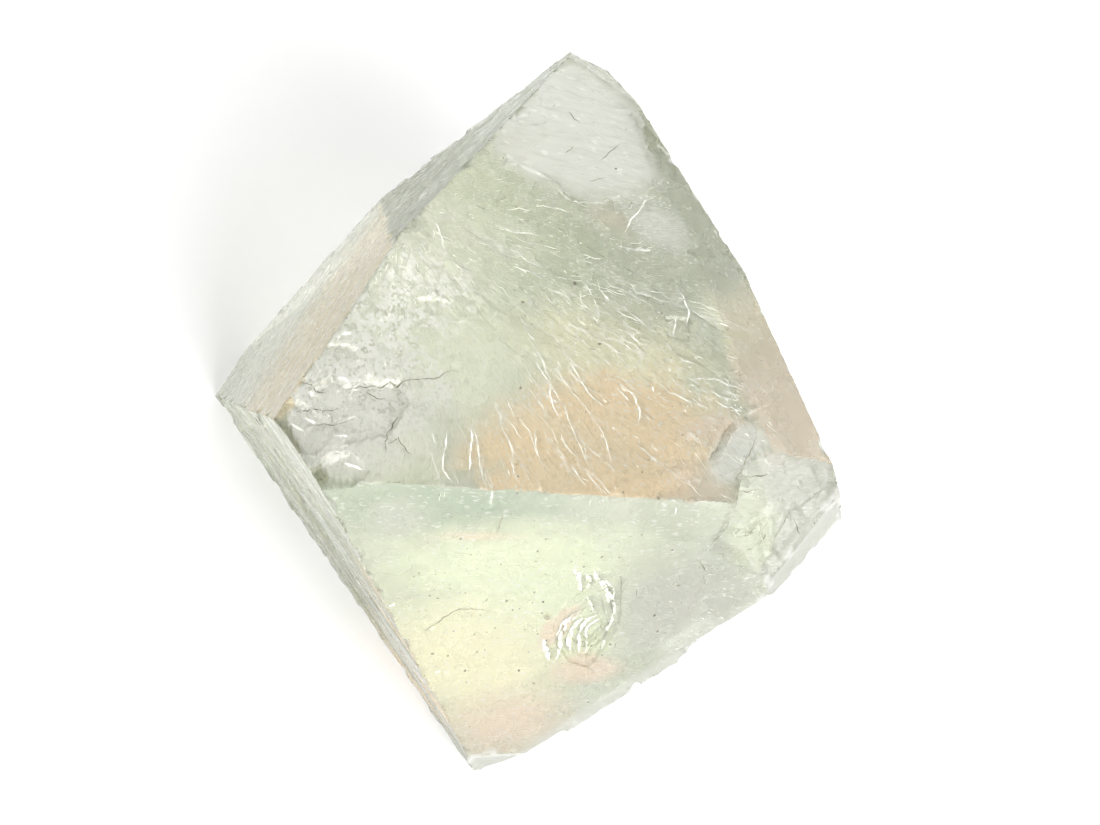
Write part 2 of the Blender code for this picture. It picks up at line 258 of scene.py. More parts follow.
def scattered_line(draw, nearest, furthest, lowest, highest, longest):
    """One fine line of the fan, from a random place outwards. Bearings are in degrees."""
    point_spacing = 0.25
    bearing = math.radians(draw.uniform(lowest, highest))
    reach = draw.uniform(nearest, furthest)
    length = draw.uniform(0.3, 1.0) * longest
    seed = draw.uniform(100, 900)
    points = []
    gone = 0.0
    while gone < length:
        drift = 0.5 * wave(gone / 2.5, 0, seed) + 0.15 * wave(gone / 0.5, 0, seed + 3)
        ray = Vector((math.cos(bearing), math.sin(bearing)))
        points.append(split_start + ray * (reach + gone) + Vector((-ray.y, ray.x)) * drift)
        gone += point_spacing
    return points


draw = random.Random(41)
clear_breadth = {"top": (0.026, 0.05), "front_right": (0.08, 0.15)}
hackles = {name: [(wandering(line, 50 + 2 * number), clear_rise[name],
                   draw.uniform(*clear_breadth[name]))
                  for number, line in enumerate(lines)]
           for name, lines in clear_lines.items()}

# How many fine lines, their nearest and furthest start from the split's own start (mm),
# their lowest and highest bearing (degrees), and the longest of them (mm).
fine_lines = ((30, 3, 14, 2, 46, 3.0), (44, 11, 19, 14, 40, 3.5), (36, 12, 19, -28, 2, 4.0),
              (26, 18, 24, 8, 34, 2.5), (24, 2, 8, -38, 14, 2.0), (10, 5, 9, 55, 95, 3.0))
for count, nearest, furthest, lowest, highest, longest in fine_lines:
    for number in range(count):
        hackles["top"].append((
            scattered_line(draw, nearest, furthest, lowest, highest, longest),
            draw.uniform(0.01, 0.03), draw.uniform(0.01, 0.025)))

# ---------------------------------------------------------------- its cracks
# Hair cracks that show dark, a few short scratches, and the slit beside the loose flake.
cracks = {
    "top": [[(-3.7, -14.7), (-3.2, -13.5), (-2.5, -12.2), (-2.2, -11.3), (-1.7, -10.5),
             (-1.7, -9.7), (-1.4, -9.0)],
            [(-1.0, -13.2), (-0.6, -14.0), (-0.1, -14.8), (0.4, -15.0), (0.7, -15.4)],
            [(0.1, -14.8), (0.2, -14.1), (0.8, -14.1), (1.3, -14.0)],
            [(-5.2, -16.6), (-4.4, -16.2), (-4.0, -15.6)],
            [(-3.1, -13.9), (-2.4, -13.6), (-2.2, -13.1)],
            [(-3.9, -17.6), (-3.2, -16.4), (-2.9, -15.6)],
            [(-2.9, -17.6), (-2.2, -16.4), (-1.9, -15.4)],
            [(8.5, 2.1), (8.9, 1.3), (9.3, 0.7), (9.5, 0.0)],
            [(9.9, 3.0), (10.4, 2.3), (10.9, 1.0), (11.4, 0.1)],
            [(-12.5, 3.9), (-12.7, 4.2)], [(-12.2, 5.4), (-12.3, 5.7)],
            [(-11.6, 6.1), (-11.0, 6.1), (-10.7, 6.3)], [(-9.4, 4.2), (-9.6, 5.0)],
            [(-8.1, 5.8), (-8.5, 7.6)], [(-7.3, 4.4), (-7.1, 5.4)]],
    "front_right": [[(-7.9, -3.9), (-7.3, -3.0), (-6.7, -2.0), (-6.1, -1.7), (-4.7, -1.8)],
                    [(-5.9, 6.1), (-5.9, 5.2), (-5.9, 4.6)], [(2.9, 0.9), (3.2, 0.0)],
                    [(5.6, 3.8), (6.4, 2.7)]],
    "front": [[(-3.9, 0.3), (-2.2, 0.0), (0.2, -0.9), (3.4, -1.4), (5.8, -2.2)],
              [(-5.0, 2.2), (-3.4, 1.6), (-0.8, 1.2), (2.2, 1.2), (4.4, 0.8)],
              [(-6.0, 4.4), (-4.6, 4.0), (-2.6, 4.2)], [(0.6, 3.4), (3.0, 3.2), (6.2, 2.2)],
              [(-7.4, 1.0), (-5.2, 0.2), (-3.0, -1.0), (-1.2, -1.4)]],
    # The first two dark lines here follow the wall that the split ran up against and the ridge across
    # the split corner.
    "right_break": [[(4.0, 0.9), (3.9, -0.1), (3.3, -1.0), (2.7, -1.7), (2.5, -2.3)],
                    [(10.0, -0.2), (8.9, -0.8), (7.9, -1.4), (7.2, -2.4), (6.6, -3.3)],
                    [(4.4, 1.5), (5.2, 1.1), (6.2, 1.1)], [(4.1, 0.6), (4.8, 0.3), (5.8, 0.3)],
                    [(4.8, -2.4), (5.3, -1.9)], [(5.6, -3.0), (6.1, -2.4)],
                    [(5.0, -3.2), (5.7, -2.7)], [(8.0, -2.0), (8.3, -2.9)]],
}

# ---------------------------------------------------------------- its relief
# Fine cleavage steps, hackle walls, ripples and bruises, all sunk into the faces and never
# raised, so that the stone keeps its size.
reach_of_line = 1.3


def along_curve(places, points):
    """Each place's signed distance to a curve, and its share of the way along it."""
    nearest = np.full(len(places), 99.0)
    signed, share = nearest.copy(), np.zeros(len(places))
    count = len(points) - 1
    for number, (first, last) in enumerate(zip(points[:-1], points[1:])):
        start, arm = np.array(first), np.array(last) - np.array(first)
        away = places - start
        gone = np.clip(away @ arm / (arm @ arm), 0, 1)
        gap = away - gone[:, None] * arm
        distance = np.hypot(gap[:, 0], gap[:, 1])
        closer = distance < nearest
        side = np.sign(arm[0] * away[:, 1] - arm[1] * away[:, 0])
        nearest[closer] = distance[closer]
        signed[closer] = (distance * side)[closer]
        share[closer] = ((number + gone) / count)[closer]
    return signed, share


def smooth_step(low, high, value):
    share = np.clip((value - low) / (high - low), 0, 1)
    return share * share * (3 - 2 * share)


def near_curve(places, points):
    corners = np.array(points)
    inside = np.all((places > corners.min(0) - reach_of_line)
                    & (places < corners.max(0) + reach_of_line), axis=1)
    return np.nonzero(inside)[0]


def layer(u, v, wide, tall, seed):
    """Smooth noise over places on a face, between -1 and 1, of a given grain size."""
    return np.array([wave(x, y, seed) for x, y in zip(u / wide, v / tall)])


def blot(u, v, centre, radii, heading=0.0, soft=0.35):
    """1 within a soft-edged patch of a face, 0 outside it. The edge wanders a little."""
    east, north = u - centre[0], v - centre[1]
    turn = math.radians(heading)
    x = (east * math.cos(turn) + north * math.sin(turn)) / radii[0]
    y = (north * math.cos(turn) - east * math.sin(turn)) / radii[1]
    ragged = 0.2 * layer(u, v, 1.6, 1.6, 20) + 0.12 * layer(u, v, 0.5, 0.5, 21)
    return np.clip((1 + soft - np.hypot(x, y) - ragged) / (2 * soft), 0, 1)


def terraced(count, wall=0.25):
    """A count of steps as a height with flat treads and short steep walls."""
    whole = np.floor(count)
    return whole + np.minimum(1.0, (count - whole) / wall)


def facets(u, v, wide, tall, seed):
    """Broken ground: patches that each tilt their own way, about 0 to 1 high."""
    patch_spread, steepness = 57.0, 0.9
    heights = []
    for x, y in zip(u / wide, v / tall):
        spot = noise.voronoi(Vector((x, y, seed)))[1][0]
        tilt = noise.cell_vector(spot * patch_spread + Vector((0, 0, seed)))
        slope = (tilt.x - 0.5) * (x - spot.x) + (tilt.y - 0.5) * (y - spot.y)
        heights.append(tilt.z + steepness * slope)
    return np.array(heights)


# The ridge across the split corner, and the wall that the split ran up against.
break_ridge = [(10.0, -0.2), (7.9, -1.4), (7.2, -2.4), (6.0, -4.3)]
break_wall = [(5.4, 3.0), (4.9, 2.4), (4.0, 1.4), (3.8, 0.5), (3.5, -0.7), (2.8, -1.7)]
verts = list(crystal.verts)
places = np.array([vert.co for vert in verts])
names = list(planes)
gaps = np.array([np.abs((places - np.array(plane.foot)) @ np.array(plane.normal))
                 for plane in planes.values()])
owner = gaps.argmin(0)
to_edge = np.sort(gaps, 0)[1]
to_plane = {name: gaps[number] for number, name in enumerate(names)}
to_outline = np.minimum.reduce([to_plane[name] for name in
                                ("back_right", "front_tip", "right_tip", "back_left", "base")])
top_u = (places - np.array(planes["top"].foot)) @ np.array(planes["top"].u)

# How strongly each finish and tint shows at each vertex, from 0 to 1. Some of them are painted light
# and shade.
marks = {name: np.zeros(len(verts)) for name in
         ("hackle_wall_shade", "sheen_streaks", "frost", "shards", "dark_olive_shade", "peach", "lemon", "rose", "cool", "glow",
          "deep", "smoky", "pale", "band", "rim", "clear")}
# Each vertex's place across and along its face's grain, and how deep it is sunk.
grain = np.zeros((len(verts), 3))
sunk = np.zeros(len(verts))
face_apart = 9.0

for number, name in enumerate(names):
    plane = planes[name]
    mine = np.nonzero(owner == number)[0]
    if name == "base":
        marks["clear"][mine] = 1
        continue
    arm = places[mine] - np.array(plane.foot)
    u, v = arm @ np.array(plane.u), arm @ np.array(plane.v)
    on_face = np.stack([u, v], 1)
    depth = np.zeros(len(mine))
    across, along = v, u
    tint = {}
    if name == "top":
        angle = np.arctan2(v - split_start.y, u - split_start.x)
        along = np.hypot(u - split_start.x, v - split_start.y)
        across = 14 * angle + 0.6 * layer(u, v, 4, 4, 1)
        open_fan = smooth_step(2, 7, along)
        cap = blot(u, v, (-10.6, 5.6), (5.4, 4.0), 35, 0.2)
        bruise = blot(u, v, (-4.0, -14.4), (4.6, 3.2), 66)
        crumpled = 0.8 * blot(u, v, (-6.6, -9.6), (3.8, 2.8), 66)
        count = 2.2 * layer(across, along, 1.7, 8, 3) + 1.1 * layer(across, along, 0.7, 4, 4)
        depth += 0.03 * open_fan * (1.6 - terraced(count)) * (1 - 0.7 * cap)
        depth += 0.018 * (1 - cap) * facets(across, along, 0.35, 1.5, 2.0)
        cap_run = v * math.cos(0.8) - u * math.sin(0.8) + 0.02 * np.hypot(u, v)
        depth += 0.03 * cap * (1 + layer(cap_run, u + v, 0.3, 4, 5))
        depth += 0.03 * cap * (1 + layer(cap_run, u + v, 0.9, 6, 6))
        across = np.where(cap > 0.5, 0.4 * cap_run, across)
        along = np.where(cap > 0.5, 0.25 * (u + v), along)
        depth += bruise * (0.12 * facets(u, v, 0.8, 0.8, 3.0) + 0.07 * facets(u, v, 0.35, 0.35, 9.0))
        depth += 0.07 * crumpled * facets(u, v, 0.8, 0.5, 5.0)
        margin = smooth_step(3.2, 1.0, to_plane["top_back_edge"][mine])
        tint = {"shards": np.maximum(bruise, crumpled), "sheen_streaks": 1 - 0.4 * cap,
                # Painted skin colour seen through the stone.
                "peach": (blot(u, v, (5.7, -5.2), (7.2, 4.3), 66, 0.16) * smooth_step(-0.5, 3.4, u)
                          * (0.92 + 0.2 * layer(u, v, 2.4, 1.6, 25))),
                "lemon": np.maximum(0.8 * blot(u, v, (2.6, -0.8), (4.8, 2.8), 45, 0.5),
                                    0.8 * blot(u, v, (4.6, 6.4), (3.0, 1.4), -15, 0.5)),
                "rose": np.maximum.reduce([blot(u, v, (8.6, 6.0), (3.4, 2.2), -15, 0.4),
                                           0.4 * blot(u, v, (-4.8, 4.1), (1.1, 0.7), 30, 0.6),
                                           0.6 * blot(u, v, (10.8, -1.8), (1.7, 1.5), 0, 0.5),
                                           0.7 * blot(u, v, (8.4, 1.2), (0.8, 1.9), -20, 0.4)]),
                # Painted light: lighter patches where light shines through the stone.
                "glow": np.maximum.reduce([0.8 * blot(u, v, (-2.0, -9.2), (4.4, 3.2), 60, 0.5),
                                           0.8 * blot(u, v, (0.2, -14.6), (2.4, 3.8), 60, 0.5)]),
                "deep": np.maximum(blot(u, v, (-6.6, -2.4), (7.4, 4.6), 30, 0.5),
                                   0.25 * blot(u, v, (0.6, 2.6), (7.5, 4.2), 30, 0.5)),
                "pale": np.maximum.reduce([blot(u, v, (-2.4, -15.4), (4.6, 3.6), 66, 0.5),
                                           0.25 * blot(u, v, (-1.4, -9.6), (4.2, 3.0), 60, 0.5),
                                           0.8 * blot(u, v, (10.1, 1.4), (1.1, 2.3), 10, 0.2)]),
                # Painted shade along the top's back margin.
                "dark_olive_shade": 0.5 * margin * (1 - cap) * smooth_step(3.5, 0.5, u),
                "smoky": 0.45 * blot(u, v, (-8.4, -5.0), (5.0, 2.6), 30, 0.6),
                "frost": np.maximum.reduce([cap, 0.3 * bruise, 0.4 * crumpled,
                                            0.7 * blot(u, v, (-3.0, 6.3), (1.5, 1.1), 30, 0.5)])}
    elif name == "front_right":
        across, along = 0.7 * v, 0.7 * u
        count = 1.2 * layer(u, v, 6, 2.2, 12) + 0.5 * layer(u, v, 2.0, 1.2, 13)
        depth += 0.03 * (1 + count) + 0.01 * (1 + layer(u, v, 0.45, 0.45, 14))
        chip = blot(u, v, (0.9, -3.8), (2.0, 2.3), 0, 0.15)
        chip_head = blot(u, v, (0.6, 1.0), (1.3, 1.9), 30, 0.2)
        outline = smooth_step(1.1, 0.3, np.minimum(to_plane["back_right"], to_plane["base"])[mine])
        depth += 0.05 * outline * facets(u, v, 1.1, 0.5, 8.0)
        tip = blot(u, v, (-1.2, -14.3), (1.4, 0.9), 20, 0.3)
        depth += 0.15 * tip * facets(u, v, 0.5, 0.5, 6.0)
        tint = {"sheen_streaks": 0.2 + 0 * u,
                "cool": blot(u, v, (-9.5, 6.6), (6.5, 2.0), 4, 0.5),
                # Painted light: lighter patches where light shines through the stone.
                "glow": np.maximum.reduce([blot(u, v, (-3.4, 1.8), (7.2, 3.4), 5, 0.4),
                                           blot(u, v, (-3.2, -2.4), (6.0, 4.4), 0, 0.4),
                                           chip, chip_head]),
                "lemon": blot(u, v, (-4.8, -6.4), (5.4, 4.2), -35, 0.5),
                "rose": np.maximum.reduce([0.8 * blot(u, v, (-1.2, -12.0), (3.0, 2.8), 20, 0.6),
                                           0.8 * blot(u, v, (2.0, -6.5), (1.9, 1.2), 15, 0.35),
                                           0.8 * blot(u, v, (-0.4, -3.0), (1.8, 0.8), 70, 0.2),
                                           0.6 * blot(u, v, (-6.8, 4.3), (1.9, 0.3), 4, 0.7)]),
                "smoky": np.maximum.reduce([0.9 * blot(u, v, (6.0, -0.2), (4.6, 3.6), -35, 0.5),
                                            0.7 * blot(u, v, (4.5, -1.6), (1.6, 3.0), 0, 0.25),
                                            0.7 * blot(u, v, (-11.4, 5.4), (1.6, 1.4), 0, 0.4)]),
                "frost": 0.6 * outline, "pale": 0.25 * outline}
    elif name == "front":
        across = v + 0.25 * layer(u, v, 4, 3, 6)
        count = 0.7 * across + 2.6 * layer(u, across, 14, 3.0, 7) + 1.0 * layer(u, across, 5, 1.1, 8)
        ledges = count - np.floor(count)
        depth += 0.05 * (1 + ledges - np.minimum(1, ledges / 0.2))
        depth += 0.05 * (1 + layer(u, across, 9, 0.9, 18))
        along = 0.1 * u
        tint = {"band": smooth_step(0.05, 0.4, layer(u, across, 18, 1.2, 19)),
                "smoky": smooth_step(0.2, -0.3, layer(u, across, 9, 2.4, 23)),
                "sheen_streaks": 0.7 + 0 * u, "deep": 0.9 + 0 * u,
                # Painted skin colour seen through the stone.
                "peach": 0.9 * smooth_step(0, 7, u)}
        across = 0.13 * across
    elif name.startswith("front_left"):
        across = v + 0.4 * layer(u, v, 5, 3, 9)
        count = 2.4 * layer(u, across, 12, 3.0, 10) + 1.0 * layer(u, across, 4, 1.2, 11)
        depth += 0.02 * (2 - terraced(count))
        upper = 1.0 if name == "front_left_upper" else 0.0
        inner = smooth_step(17, 8, to_plane["top"][mine] + 2 * layer(u, v, 4, 6, 27))
        # Painted skin colour seen through the stone, on the lower strip.
        tint = {"peach": 0.5 * (1 - upper) * inner * smooth_step(-12, 0, u),
                "smoky": 0.6 * upper + 0 * u, "sheen_streaks": 0.15 + 0 * u,
                "pale": 0.5 * (1 - upper) * (1 - inner),
                # Painted shade on the upper strip, a face turned from the light.
                "dark_olive_shade": 0.9 * upper + 0 * u}
        across, along = 0.12 * across, 0.25 * u
    elif name == "right_break":
        depth += 0.4 * facets(u, v, 2.2, 2.2, 4.0) + 0.1 * facets(u, v, 0.7, 0.7, 7.0)
        signed, share = along_curve(on_face, break_ridge)
        depth += 0.3 * smooth_step(-0.05, 0.1, signed) * np.exp(-np.abs(signed) / 1.0)
        below = smooth_step(-0.3, 0.3, signed)
        grey_side = blot(u, v, (8.8, 0.2), (2.4, 1.9), -20, 0.5)
        tint = {"frost": 0.3 + 0 * u, "sheen_streaks": 0.9 + 0 * u,
                # Painted light: a lighter patch where light shines through the stone.
                "glow": 0.9 * blot(u, v, (5.4, -1.9), (1.7, 2.6), 0, 0.4),
                "rose": 0.6 * smooth_step(0.6, 2.4, v) * smooth_step(5.0, 7.0, u),
                # Painted shade below the ridge, in deep green and grey.
                "deep": 0.5 * below, "smoky": np.maximum(grey_side, 0.7 * below)}
    else:
        count = 2.2 * layer(u, v, 9, 1.5, 16) + 1.2 * layer(u, v, 3, 0.6, 17)
        depth += 0.03 * (2.0 - terraced(count))
        tint = {"clear": 0.85 + 0 * u, "sheen_streaks": 0.6 + 0 * u}
        if name == "left_tip":
            tint = {"smoky": 0.6 + 0 * u, "sheen_streaks": 0.6 + 0 * u}
        if name in ("right_tip", "front_tip"):
            tint = {"smoky": 0.9 + 0 * u, "deep": 0.6 + 0 * u, "sheen_streaks": 0.5 + 0 * u,
                    "frost": 0.4 + 0 * u}
        if name == "top_back_edge":
            depth *= 0.4
            # Painted shade towards one end of the top's back edge, and painted skin colour seen
            # through the stone towards the other.
            tint = {"dark_olive_shade": 0.6 * smooth_step(3.5, 0.5, top_u[mine]), "sheen_streaks": 0.2 + 0 * u,
                    "peach": 0.5 * smooth_step(1.0, 4.0, top_u[mine]), "smoky": 0.3 + 0 * u,
                    "rose": 0.8 * smooth_step(4.5, 8.0, top_u[mine])}
    for points, rise, half_width in hackles.get(name, []):
        found = near_curve(on_face, points)
        signed, share = along_curve(on_face[found], points)
        fade = np.minimum(1, 5 * np.minimum(share, 1 - share))
        low_side = smooth_step(-0.05, 0.05, signed) * np.exp(-np.maximum(signed, 0) / 0.4)
        depth[found] += rise * fade * low_side * (np.abs(signed) < reach_of_line)
        # Painted shade on the low side of each hackle wall, fading away from the wall.
        shade = fade * low_side * smooth_step(0.45, 0.1, np.abs(signed)) * half_width / 0.045
        marks["hackle_wall_shade"][mine[found]] = np.maximum(marks["hackle_wall_shade"][mine[found]], shade)
    for points in cracks.get(name, []):
        found = near_curve(on_face, points)
        signed, share = along_curve(on_face[found], points)
        depth[found] += 0.05 * (np.abs(signed) < 0.12)
    for key, values in tint.items():
        marks[key][mine] = values
    marks["rim"][mine] = smooth_step(0.22, 0.03, to_outline[mine]) * (to_edge[mine] < 0.25)
    grain[mine] = np.stack([across, along, np.full(len(mine), face_apart * number)], 1)
    sunk[mine] = np.maximum(depth, 0) * (0.2 + 0.8 * smooth_step(0, 0.35, to_edge[mine]))

# Painted shadow: a dark olive band along the wall that the split ran up against.
arm = places - np.array(planes["right_break"].foot)
on_break = np.stack([arm @ np.array(planes["right_break"].u),
                     arm @ np.array(planes["right_break"].v)], 1)
found = near_curve(on_break, break_wall)
found = found[to_plane["right_break"][found] < 2.0]
signed, share = along_curve(on_break[found], break_wall)
marks["dark_olive_shade"][found] = np.maximum(marks["dark_olive_shade"][found], 0.7 * smooth_step(0.4, 0.12, np.abs(signed)))

for name in marks:
    crystal.verts.layers.float.new(name)
crystal.verts.layers.float_vector.new("grain")
verts = list(crystal.verts)
for name, values in marks.items():
    field = crystal.verts.layers.float[name]
    for vert, value in zip(verts, values):
        vert[field] = value
grain_field = crystal.verts.layers.float_vector["grain"]
noise.seed_set(7)
wide_bend, wide_length = 0.16, 1.1
fine_bend, fine_length = 0.05, 0.35
resting_part = 0.5
for vert, depth, number, run in zip(verts, sunk, owner, grain):
    plane = planes[names[number]]
    vert[grain_field] = run
    sway = wide_bend * noise.noise_vector(vert.co / wide_length)
    sway += fine_bend * noise.noise_vector(vert.co / fine_length)
    sway -= plane.normal * sway.dot(plane.normal)
    if vert.co.z < resting_part:
        sway.z = 0.0
    vert.co += sway - plane.normal * float(depth)
    vert.co.z = max(vert.co.z, 0.0)

crystal.normal_update()
surface = BVHTree.FromBMesh(crystal)
crystal.transform(to_metres)
stone_mesh = bpy.data.meshes.new("stone")
crystal.to_mesh(stone_mesh)
crystal.free()
stone_mesh.shade_smooth()
sharp_from = math.radians(30)
stone_mesh.set_sharp_from_angle(angle=sharp_from)
stone = bpy.data.objects.new("fluorite_stone", stone_mesh)
scene.collection.objects.link(stone)

# ---------------------------------------------------------------- its material
# Clear to milky fluorite: see-through, faintly green, with frosted cleavage faces, pale
# hackle lines, and soft patches of lemon and rose. Its colour also holds painted light and
# shade: peach patches of skin seen through the stone, lighter patches of light shining
# through, painted shade on faces turned from the light and beside steps and walls, and
# painted sheen and glints along the grain.
fluorite = bpy.data.materials.new("fluorite")
fluorite.use_nodes = True
nodes, links = fluorite.node_tree.nodes, fluorite.node_tree.links
shader = nodes["Principled BSDF"]
shader.inputs["IOR"].default_value = 1.434
shader.inputs["Transmission Weight"].default_value = 0.75


def add(kind, **settings):
    node = nodes.new(kind)
    for name, value in settings.items():
        setattr(node, name, value)
    return node


def fed(node, **sources):
    """Sets or links a node's inputs. A source is a socket or a plain value."""
    for name, source in sources.items():
        socket = node.inputs[int(name[1:])] if name[1:].isdigit() else node.inputs[name]
        if isinstance(source, bpy.types.NodeSocket):
            links.new(source, socket)
        else:
            socket.default_value = source
    return node


def measured(name):
    return add("ShaderNodeAttribute", attribute_name=name).outputs["Fac"]


def sum_of(operation, first, second):
    node = add("ShaderNodeMath", operation=operation)
    return fed(node, _0=first, _1=second).outputs[0]


def ramp(value, low, high, to_low=0.0, to_high=1.0):
    node = add("ShaderNodeMapRange", interpolation_type="SMOOTHSTEP")
    fed(node, _0=value, _1=low, _2=high, _3=to_low, _4=to_high)
    return node.outputs[0]


def tinted(under, share, colour):
    node = add("ShaderNodeMix", data_type="RGBA")
    fed(node, _0=share, _6=under, _7=colour)
    return node.outputs[2]


place = add("ShaderNodeTexCoord").outputs["Object"]


def cloud(scale, detail, roughness=0.55):
    node = add("ShaderNodeTexNoise")
    fed(node, Vector=place, Scale=scale, Detail=detail, Roughness=roughness)
    return node.outputs["Fac"]


def streaks(wide, long, detail=3, seed=0.0):
    """Noise drawn out along each face's own grain; wide and long in millimetres."""
    grained = add("ShaderNodeAttribute", attribute_name="grain").outputs["Vector"]
    scaled = add("ShaderNodeVectorMath", operation="MULTIPLY_ADD")
    fed(scaled, _0=grained, _1=(1 / wide, 1 / long, 1), _2=(seed, seed, 0))
    node = add("ShaderNodeTexNoise")
    fed(node, Vector=scaled.outputs[0], Scale=1.0, Detail=detail, Roughness=0.55)
    return node.outputs["Fac"]


def darkened(under, share):
    return tinted(under, share, (0.30, 0.31, 0.24, 1))


def whitened(under, share):
    return tinted(under, share, (1.0, 1.0, 0.98, 1))


colour = tinted((0.52, 0.55, 0.43, 1), ramp(cloud(220, 1), 0.35, 0.65), (0.62, 0.65, 0.53, 1))
# Of these tints the peach is painted skin colour seen through the stone, the glow is painted light
# shining through, the dark olive is painted shade, and the deep green is partly the stone's own green
# and partly painted shade.
for name, hue in (("clear", (0.97, 0.98, 0.95, 1)), ("deep", (0.36, 0.40, 0.27, 1)),
                  ("cool", (0.36, 0.43, 0.33, 1)),
                  ("glow", (0.84, 0.90, 0.64, 1)), ("lemon", (0.97, 0.92, 0.62, 1)),
                  ("peach", (1.0, 0.74, 0.45, 1)), ("rose", (0.90, 0.70, 0.54, 1)),
                  ("smoky", (0.56, 0.57, 0.50, 1)), ("dark_olive_shade", (0.25, 0.27, 0.19, 1)),
                  ("frost", (0.70, 0.71, 0.67, 1)), ("pale", (0.96, 0.96, 0.92, 1))):
    colour = tinted(colour, measured(name), hue)

silk = streaks(0.10, 0.5, 2)
sheen_streaks = measured("sheen_streaks")
patchy = cloud(900, 1)
# Streaks along the grain: darker ones, and lighter ones that are painted sheen.
colour = darkened(colour, sum_of("MULTIPLY", ramp(silk, 0.5, 0.28, 0.0, 0.35), sheen_streaks))
colour = whitened(colour, sum_of("MULTIPLY", ramp(silk, 0.52, 0.72, 0.0, 0.24), sheen_streaks))
# Painted glints: short bright dashes along the grain, in patches.
glint = sum_of("MULTIPLY", ramp(streaks(0.10, 0.3, 1, 57.0), 0.58, 0.66), ramp(patchy, 0.42, 0.62))
colour = whitened(colour, sum_of("MULTIPLY", glint, 0.6))
plates = fed(add("ShaderNodeTexVoronoi"), Vector=place, Scale=2600).outputs["Color"]
chips = fed(add("ShaderNodeTexVoronoi"), Vector=place, Scale=5600).outputs["Color"]
shards = sum_of("MULTIPLY", measured("shards"), ramp(patchy, 0.36, 0.52))
colour = darkened(colour, sum_of("MULTIPLY", shards, ramp(chips, 0.36, 0.30, 0.0, 0.5)))
colour = whitened(colour, sum_of("MULTIPLY", shards, ramp(plates, 0.56, 0.60, 0.0, 0.8)))
colour = whitened(colour, sum_of("MULTIPLY", shards, ramp(chips, 0.62, 0.66, 0.0, 1.0)))
# Painted shade beside the hackle walls.
colour = darkened(colour, sum_of("MULTIPLY", measured("hackle_wall_shade"), 0.3))
colour = tinted(colour, sum_of("MULTIPLY", measured("band"), 0.85), (0.34, 0.34, 0.22, 1))
colour = whitened(colour, sum_of("MULTIPLY", measured("rim"), ramp(patchy, 0.4, 0.6)))
links.new(colour, shader.inputs["Base Color"])

rough = ramp(patchy, 0.3, 0.7, 0.2, 0.34)
rough = sum_of("ADD", rough, sum_of("MULTIPLY", measured("frost"), 0.2))
links.new(rough, shader.inputs["Roughness"])

bump = fed(add("ShaderNodeBump"), Strength=0.6, Distance=0.00003, Height=cloud(5000, 1))
bump = fed(add("ShaderNodeBump"), Strength=0.7, Distance=0.00004,
           Height=sum_of("MULTIPLY", silk, sheen_streaks), Normal=bump.outputs[0])
links.new(bump.outputs[0], shader.inputs["Normal"])

depth_tint = add("ShaderNodeVolumeAbsorption")
depth_tint.inputs["Color"].default_value = (0.86, 0.87, 0.80, 1)
depth_tint.inputs["Density"].default_value = 9
links.new(depth_tint.outputs[0], nodes["Material Output"].inputs["Volume"])
stone_mesh.materials.append(fluorite)

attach(stone, "root")
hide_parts("fluorite_octahedron")

# ---------------------------------------------------------------- the hackle glints
# Painted glints: thin opaque whitish slivers lying on the surface along the hackle lines
# placed above, where light catches the hackle steps, with many short ones strewn over the
# bruised and streaked ground. They are part of the same crystal.
lift = 0.012

# A line towards a face is followed this far, and past the second depth it has to have met
# the face itself (mm).
deepest, off_the_face = 3.0, 2.2


def on_surface(plane, u, v, height=lift):
    """The point of the stone's surface over (u, v) on a face, raised a hair, or None."""
    start = plane.foot + plane.u * u + plane.v * v + plane.normal * 1.0
    hit, normal, cell, distance = surface.ray_cast(start, -plane.normal, deepest)
    if hit is None:
        return None
    if nearest_plane(hit).name != plane.name and distance > off_the_face:
        return None
    return hit + plane.normal * height


def lay_sliver(mesh, plane, points, half_width, height=lift):
    """A sliver along a line on a face, pointed at both ends and uneven in width.

    A row of edges down its left side is extruded, and the new side is laid on its right.
    """
    left_rim = []
    count = len(points) - 1
    seed = 13 * points[0].x + 7 * points[0].y
    for number, spot in enumerate(points):
        before, after = points[max(0, number - 1)], points[min(count, number + 1)]
        side = Vector((before.y - after.y, after.x - before.x)).normalized()
        taper = min(1.0, 0.15 + 4 * min(number, count - number) / count)
        breadth = half_width * taper * (0.75 + 0.8 * wave(spot.x / 0.3, spot.y / 0.3, seed))
        left, right = spot + side * breadth, spot - side * breadth
        ends = on_surface(plane, *left, height), on_surface(plane, *right, height)
        if None in ends:
            break
        left_rim.append(ends)
    if len(left_rim) < 2:
        return
    rim = [mesh.verts.new(ends[0]) for ends in left_rim]
    edges = [mesh.edges.new(pair) for pair in zip(rim[:-1], rim[1:])]
    swept = bmesh.ops.extrude_edge_only(mesh, edges=edges)["geom"]
    for vert in swept:
        if isinstance(vert, bmesh.types.BMVert):
            vert.co = min(left_rim, key=lambda ends: (ends[0] - vert.co).length_squared)[1]


def sliver_object(name, mesh, material):
    """Makes a piece of the stone from its slivers."""
    bmesh.ops.recalc_face_normals(mesh, faces=mesh.faces)
    mesh.transform(to_metres)
    data = bpy.data.meshes.new(name)
    mesh.to_mesh(data)
    mesh.free()
    data.materials.append(material)
    piece = bpy.data.objects.new(name, data)
    scene.collection.objects.link(piece)
    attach(piece, "root")


glint_mesh = bmesh.new()
for name, lines in hackles.items():
    for points, rise, half_width in lines:
        lay_sliver(glint_mesh, planes[name], points, half_width)

